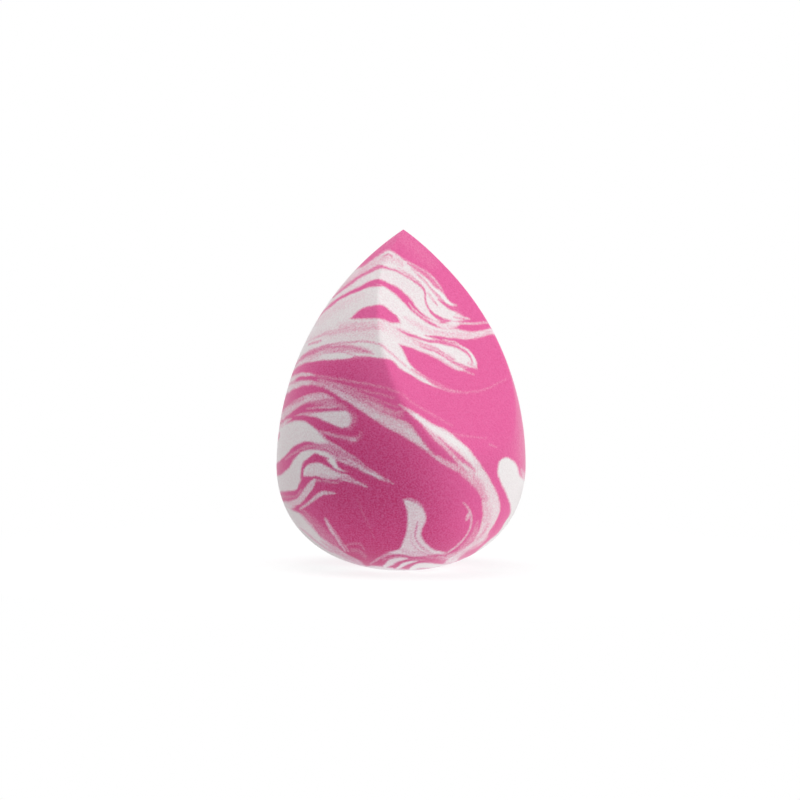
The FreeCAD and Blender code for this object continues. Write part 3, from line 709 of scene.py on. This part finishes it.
def marbledFoam():
    material = bpy.data.materials.new("marbledFoam")
    material.use_nodes = True
    tree = material.node_tree
    tree.nodes.clear()
    start = Wire(tree)
    spot = start.node("ShaderNodeTexCoord", out="Object")
    share = start.node("ShaderNodeAttribute", dict(attribute_name="whiteShare"), out="Fac")
    grain = start.node("ShaderNodeTexNoise", inputs={
        "Vector": spot, "Scale": 1 / foam["pore"], "Detail": foam["grainDetail"],
        "Roughness": foam["grainRoughness"]})
    cells = start.node("ShaderNodeTexVoronoi", dict(feature="F1"), {
        "Vector": spot, "Scale": 1 / foam["pore"]}, out="Distance")
    mixed = share * (1 - share) * 4                      # 1 where the colours are half and half
    frayed = share + (grain - 0.5) * foam["edgeGrain"] * mixed
    white = start.node("ShaderNodeClamp", {}, {0: frayed})
    # painted shade, which turns the lit pink into its shaded copy and adds the shade tint
    shadeAmount = start.node("ShaderNodeAttribute", dict(attribute_name="paintedShade"), out="Fac")
    hollow = start.node("ShaderNodeMapRange", {}, {
        "Value": grain, "From Min": foam["poreFrom"], "From Max": foam["poreTo"]})
    lit = start.node("ShaderNodeMix", dict(data_type="RGBA"), {
        0: hollow, 6: foam["pink"], 7: foam["pinkPore"]}, out=2)
    shaded = start.node("ShaderNodeMix", dict(data_type="RGBA"), {
        0: hollow, 6: foam["shadedPink"], 7: foam["shadedPinkPore"]}, out=2)
    pinks = start.node("ShaderNodeMix", dict(data_type="RGBA"), {0: shadeAmount, 6: lit, 7: shaded}, out=2)
    blend = start.node("ShaderNodeMix", dict(data_type="RGBA"), {
        0: white, 6: pinks, 7: foam["white"]}, out=2)
    colour = start.node("ShaderNodeMix", dict(data_type="RGBA", blend_type="ADD"), {
        0: mixed * shadeAmount, 6: blend, 7: foam["shadeTint"]}, out=2)
    pits = grain - cells * foam["cellPits"]
    shade = start.node("ShaderNodeMapRange", {}, {
        "Value": pits, "From Max": foam["pitTop"], "To Min": foam["pitShade"]})
    grey = start.node("ShaderNodeCombineColor", {}, {0: shade, 1: shade, 2: shade})
    pitted = start.node("ShaderNodeMix", dict(data_type="RGBA", blend_type="MULTIPLY"), {
        0: 1.0, 6: colour, 7: grey}, out=2)
    bump = start.node("ShaderNodeBump", {}, {
        "Strength": foam["pitStrength"], "Distance": foam["pitDepth"], "Height": pits})
    shader = start.node("ShaderNodeBsdfPrincipled", {}, {
        "Base Color": pitted, "Roughness": foam["roughness"], "Specular IOR Level": foam["specular"],
        "Sheen Weight": foam["fuzz"], "Sheen Roughness": foam["fuzzSpread"], "Normal": bump})
    start.node("ShaderNodeOutputMaterial", {}, {"Surface": shader})
    return material


foamMaterial = marbledFoam()
for name, piece in pieces.items():
    piece.data.materials.clear()
    piece.data.materials.append(foamMaterial)
    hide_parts(name)
    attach(piece, "root")
print("pieces in place:", len(pieces))

# Floor and backdrop: white to the camera, with the sponge's soft shadow
stage = dict(
    floorSize=0.5,                   # from the middle to an edge
    floorColour=(0.9, 0.9, 0.9, 1),
    bounce=0.97,                     # glow that the sponge sees from the floor close by
    bounceMiddle=(0.006, 0, 0),      # a little to the right, where the floor is lit more
    bounceFrom=0.006,                # full glow up to here
    bounceTo=0.034,                  # and none from here on
    shadowShare=0.2,                 # how much of the shadow the camera sees
    glow=0.84,                       # and the glow added there, for a floor that is nearly white
    fadeFrom=0.03,                   # from here the shadow fades out
    fadeTo=0.09,
    whiteGlow=1.0,                   # glow that shows as plain white
)


def backgroundRays(start):           # rays that see the white, and bring no more light to the sponge
    camera, glossy, through = (start.node("ShaderNodeLightPath", out="Is %s Ray" % kind)
                               for kind in ("Camera", "Glossy", "Transmission"))
    return start.node("ShaderNodeClamp", {}, {0: camera + glossy + through})


def makeFloor():
    bm = bmesh.new()
    bmesh.ops.create_grid(bm, x_segments=1, y_segments=1, size=stage["floorSize"])
    mesh = bpy.data.meshes.new("floor")
    bm.to_mesh(mesh)
    bm.free()
    floor = bpy.data.objects.new("floor", mesh)
    bpy.context.scene.collection.objects.link(floor)
    material = bpy.data.materials.new("paleFloor")
    material.use_nodes = True
    material.node_tree.nodes.clear()
    start = Wire(material.node_tree)
    share = stage["shadowShare"]
    spot = start.node("ShaderNodeTexCoord", out="Object")
    away = start.node("ShaderNodeVectorMath", dict(operation="LENGTH"), {0: spot}, out="Value")
    lit = start.node("ShaderNodeBsdfDiffuse", {}, {"Color": stage["floorColour"]})
    bounce = start.node("ShaderNodeEmission", {}, {"Strength": stage["bounce"]})
    offset = start.node("ShaderNodeVectorMath", dict(operation="DISTANCE"), {
        0: spot, 1: stage["bounceMiddle"]}, out="Value")
    further = start.node("ShaderNodeMapRange", dict(interpolation_type="SMOOTHSTEP"), {
        "Value": offset, "From Min": stage["bounceFrom"], "From Max": stage["bounceTo"]})
    plain = start.node("ShaderNodeMixShader", {}, {0: further, 1: bounce, 2: lit})
    thin = start.node("ShaderNodeBsdfDiffuse", {}, {"Color": (share, share, share, 1)})
    glow = start.node("ShaderNodeEmission", {}, {"Strength": stage["glow"]})
    near = start.node("ShaderNodeAddShader", {}, {0: thin, 1: glow})
    far = start.node("ShaderNodeEmission", {}, {"Strength": stage["whiteGlow"]})
    fade = start.node("ShaderNodeMapRange", dict(interpolation_type="SMOOTHSTEP"), {
        "Value": away, "From Min": stage["fadeFrom"], "From Max": stage["fadeTo"]})
    seen = start.node("ShaderNodeMixShader", {}, {0: fade, 1: near, 2: far})
    both = start.node("ShaderNodeMixShader", {}, {0: backgroundRays(start), 1: plain, 2: seen})
    start.node("ShaderNodeOutputMaterial", {}, {"Surface": both})
    mesh.materials.append(material)


# Soft lamps: azimuth from the camera to the right, elevation and power
lamps = dict(
    ambient=0.12,
    distance=0.6,
    size=0.5,
    key=dict(azimuth=78, elevation=15, power=2.28),
    top=dict(azimuth=0, elevation=85, power=2.5),
    fill=dict(azimuth=-100, elevation=60, power=1.16),
)


def makeWorld():
    world = bpy.data.worlds.new("studio")
    bpy.context.scene.world = world
    world.use_nodes = True
    world.node_tree.nodes.clear()
    start = Wire(world.node_tree)
    soft = start.node("ShaderNodeBackground", {}, {"Color": (1, 1, 1, 1), "Strength": lamps["ambient"]})
    white = start.node("ShaderNodeBackground", {}, {
        "Color": (1, 1, 1, 1), "Strength": stage["whiteGlow"]})
    both = start.node("ShaderNodeMixShader", {}, {0: backgroundRays(start), 1: soft, 2: white})
    start.node("ShaderNodeOutputWorld", {}, {"Surface": both})


def makeLamp(name):
    settings = lamps[name]
    azimuth, elevation = math.radians(settings["azimuth"]), math.radians(settings["elevation"])
    away = Vector((math.sin(azimuth) * math.cos(elevation), -math.cos(azimuth) * math.cos(elevation),
                   math.sin(elevation)))
    lamp = bpy.data.lights.new(name, "AREA")
    lamp.size = lamps["size"]
    lamp.energy = settings["power"]
    holder = bpy.data.objects.new(name, lamp)
    bpy.context.scene.collection.objects.link(holder)
    holder.location = Vector((0, 0, sponge["height"] / 2)) + away * lamps["distance"]
    holder.rotation_euler = away.to_track_quat("Z", "Y").to_euler()


def makeCamera():
    data = bpy.data.cameras.new("camera")
    camera = bpy.data.objects.new("camera", data)
    bpy.context.scene.collection.objects.link(camera)
    across = photo["frame"] * photo["pixel"]
    data.lens = data.sensor_width * photo["distance"] / across
    middle = photo["frame"] / 2
    aim = inPhotoPlane(middle, middle)
    camera.location = aim - sight * photo["distance"]
    roll = Vector((-photo["lean"], 0, 1))                # the photo's upright, in the sponge's frame
    camera.rotation_mode = "QUATERNION"
    right = sight.cross(roll).normalized()
    above = right.cross(sight)
    camera.rotation_quaternion = Matrix((right, above, -sight)).transposed().to_quaternion()
    bpy.context.scene.camera = camera


makeFloor()
makeWorld()
for name in ("key", "top", "fill"):
    makeLamp(name)
makeCamera()
bpy.context.scene.view_settings.view_transform = "Standard"
print("studio ready")
